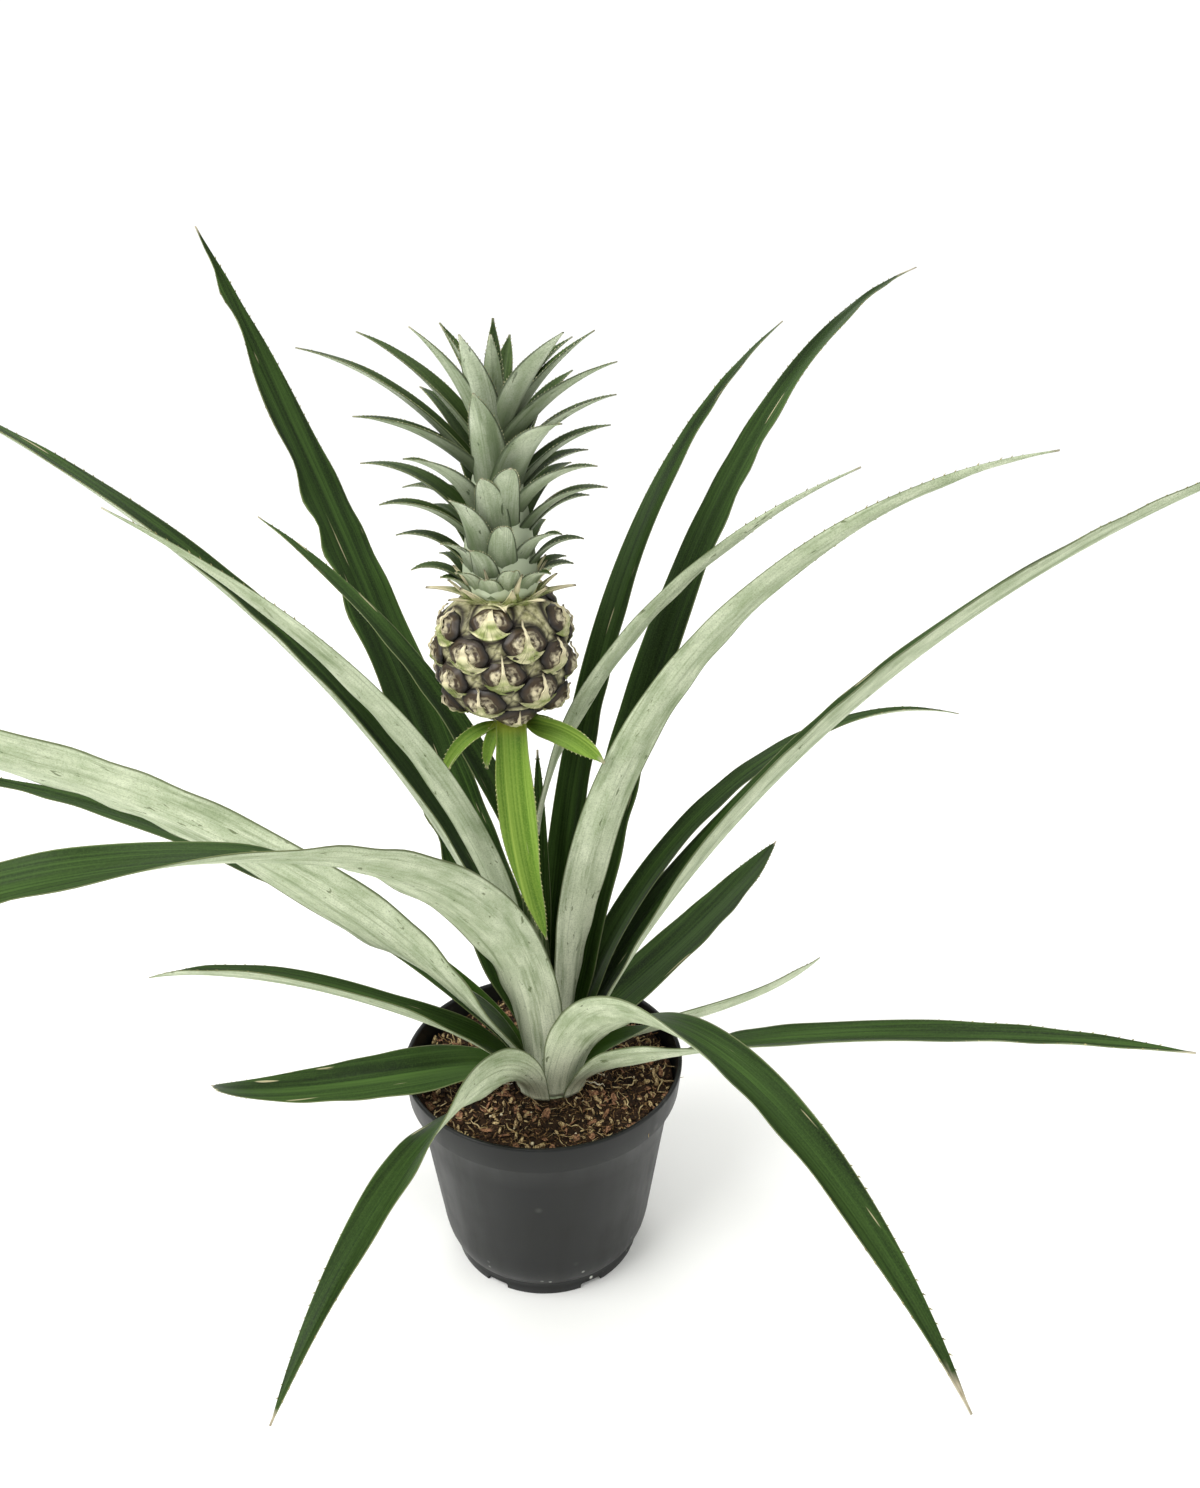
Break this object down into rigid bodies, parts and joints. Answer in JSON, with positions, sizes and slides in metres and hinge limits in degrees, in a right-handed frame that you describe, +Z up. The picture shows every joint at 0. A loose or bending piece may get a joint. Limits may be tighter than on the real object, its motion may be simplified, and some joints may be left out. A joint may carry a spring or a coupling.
{
  "type": "potted pineapple plant",
  "caption": "Ornamental pineapple plant in a round nursery pot, with arching sword leaves and one small crowned fruit on a leaning stalk.",
  "frame": {"origin": "centre of the pot's underside, on the floor", "axes": "+Z up along the pot's axis; -Y is the side seen from the front; +X to its right"},
  "size_m": [0.699, 0.4277, 0.46],
  "materials": {
    "pot_plastic": "moulded near-black nursery plastic, satin, lightly scuffed",
    "potting_mix": "damp dark peat and coir with pale fibres and bark chips",
    "stem_green": "fresh yellow-green plant tissue, softly glossy",
    "fruit_rind": "unripe rind with dark domed eyes and dry pale bracts",
    "crown_green": "stiff blades with a silvery bloom",
    "leaf_green": "leathery blades, dark green above, silvery grey-green beneath"
  },
  "bodies": {
    "root": {"pot": "pot_plastic", "potting_mix": "potting_mix", "stem": "stem_green", "fruit": "fruit_rind", "crown": "crown_green", "leaf_01": "leaf_green", "leaf_02": "leaf_green", "leaf_03": "leaf_green", "leaf_04": "leaf_green", "leaf_05": "leaf_green", "leaf_06": "leaf_green", "leaf_07": "leaf_green", "leaf_08": "leaf_green", "leaf_09": "leaf_green", "leaf_10": "leaf_green", "leaf_11": "leaf_green", "leaf_12": "leaf_green", "leaf_13": "leaf_green", "leaf_14": "leaf_green", "leaf_15": "leaf_green", "leaf_16": "leaf_green", "leaf_17": "leaf_green", "leaf_18": "leaf_green", "stalk_leaf_1": "leaf_green", "stalk_leaf_2": "leaf_green", "stalk_leaf_3": "leaf_green"}
  },
  "joints": []
}
